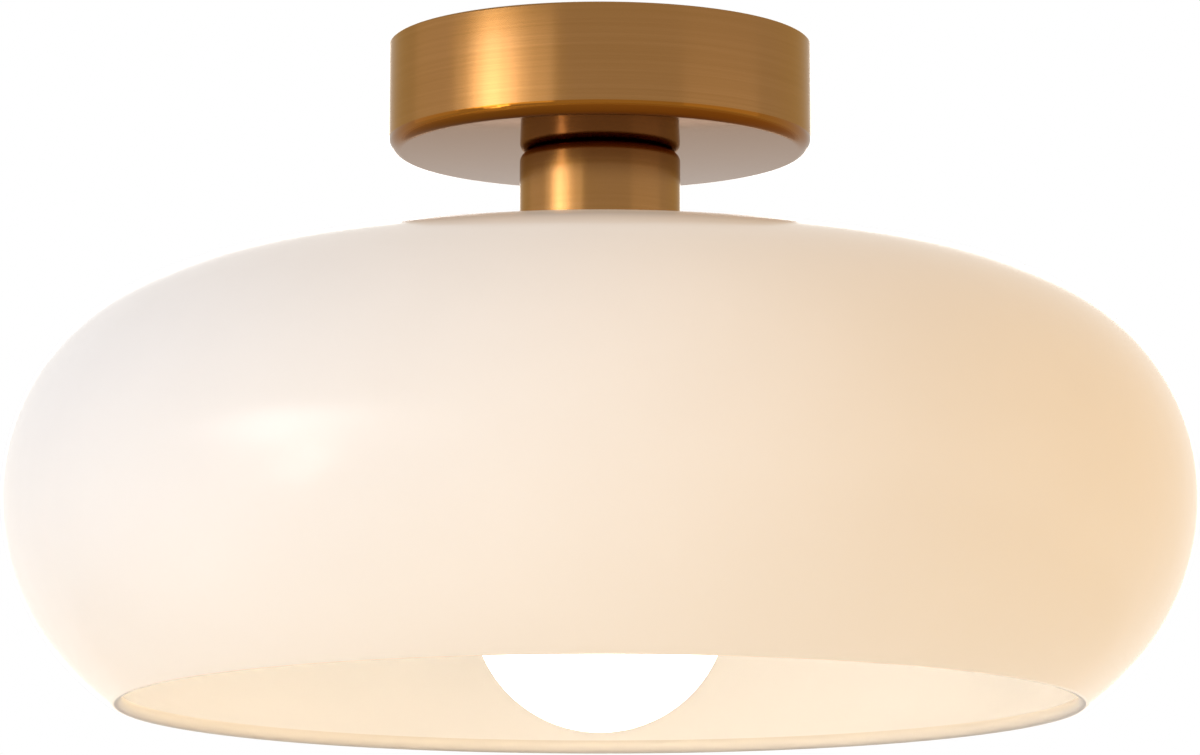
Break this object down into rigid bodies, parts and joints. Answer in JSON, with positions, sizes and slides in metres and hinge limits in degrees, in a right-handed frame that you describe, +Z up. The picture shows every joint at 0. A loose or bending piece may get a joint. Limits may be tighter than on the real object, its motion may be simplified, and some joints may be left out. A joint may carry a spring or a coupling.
{
  "type": "flush mount ceiling light",
  "caption": "Ceiling light with a drum canopy and short cup of satin brass, a wide open-bottomed opal glass shade held by a threaded ring, and a screw-base bulb in its socket.",
  "frame": {"origin": "on the ceiling plane, at the centre between the mounting strap's two slots, on the axis of the canopy", "axes": "+Z up into the ceiling along the light's axis, so the light hangs towards -Z; +X along the mounting strap; -Y is the front in the picture"},
  "size_m": [0.28, 0.28, 0.1635],
  "materials": {
    "satin_brass": "satin, finely brushed round the axis, lacquered",
    "plain_brass": "bright turned",
    "opal_glass": "glossy opal, lets light through but not a clear view",
    "zinc_steel": "zinc plated",
    "earth_green": "green coated",
    "clear_grey_plastic": "moulded",
    "wire_brown": "soft insulation",
    "wire_blue": "soft insulation",
    "white_phenolic": "moulded, semi-gloss",
    "porcelain": "glazed",
    "shell_metal": "rolled, bright",
    "gasket_rubber": "soft, pale",
    "bulb_base_metal": "nickel bright",
    "bulb_insulator": "black",
    "bulb_white": "smooth",
    "board_green": "resist coated",
    "can_black": "sleeved",
    "board_white": "white coated",
    "chip_yellow": "phosphor",
    "bulb_diffuser": "frosted"
  },
  "bodies": {
    "fixture": {"mounting_strap": "zinc_steel", "strap_nuts": "zinc_steel", "earth_washer": "zinc_steel", "earth_screw": "earth_green", "terminal_block": "clear_grey_plastic", "terminal_tubes": "plain_brass", "clamp_screws": "zinc_steel", "block_screw": "zinc_steel", "threaded_tube": "zinc_steel", "live_wire": "wire_brown", "neutral_wire": "wire_blue", "canopy": "satin_brass", "socket_cup": "satin_brass", "lock_washer": "zinc_steel", "cup_nut": "plain_brass", "socket_cap": "white_phenolic", "socket_core": "porcelain", "terminal_screws": "plain_brass", "centre_contact": "plain_brass", "shell_rivets": "plain_brass", "screw_shell": "shell_metal", "socket_skirt": "white_phenolic", "upper_gasket": "gasket_rubber"},
    "shade": {"glass_shade": "opal_glass", "lower_gasket": "gasket_rubber"},
    "ring": {"shade_ring": "white_phenolic"},
    "bulb_contact": {"bulb_tip": "bulb_base_metal"},
    "bulb": {"bulb_insulator": "bulb_insulator", "bulb_base": "bulb_base_metal", "bulb_housing": "bulb_white", "driver_board": "board_green", "driver_can": "can_black", "led_board": "board_white", "led_chips": "chip_yellow", "bulb_diffuser": "bulb_diffuser"}
  },
  "joints": [
    {"name": "ring_travel", "type": "slide", "parent": "fixture", "child": "shade", "axis": [0, 0, -1], "range_m": [0, 0.021]},
    {"name": "ring_turn", "type": "hinge", "parent": "shade", "child": "ring", "pos_m": [0, 0, -0.056], "axis": [0, 0, -1], "range_deg": [0, 2520]},
    {"name": "bulb_travel", "type": "slide", "parent": "fixture", "child": "bulb_contact", "axis": [0, 0, -1], "range_m": [0, 0.0255]},
    {"name": "bulb_turn", "type": "hinge", "parent": "bulb_contact", "child": "bulb", "pos_m": [0, 0, -0.1], "axis": [0, 0, -1], "range_deg": [0, 2520]}
  ],
  "couplings": [
    {"joint": "ring_turn", "follows": "ring_travel", "rad_per_m": 2094.4},
    {"joint": "bulb_travel", "follows": "bulb_turn", "m_per_rad": 0.00057751}
  ]
}
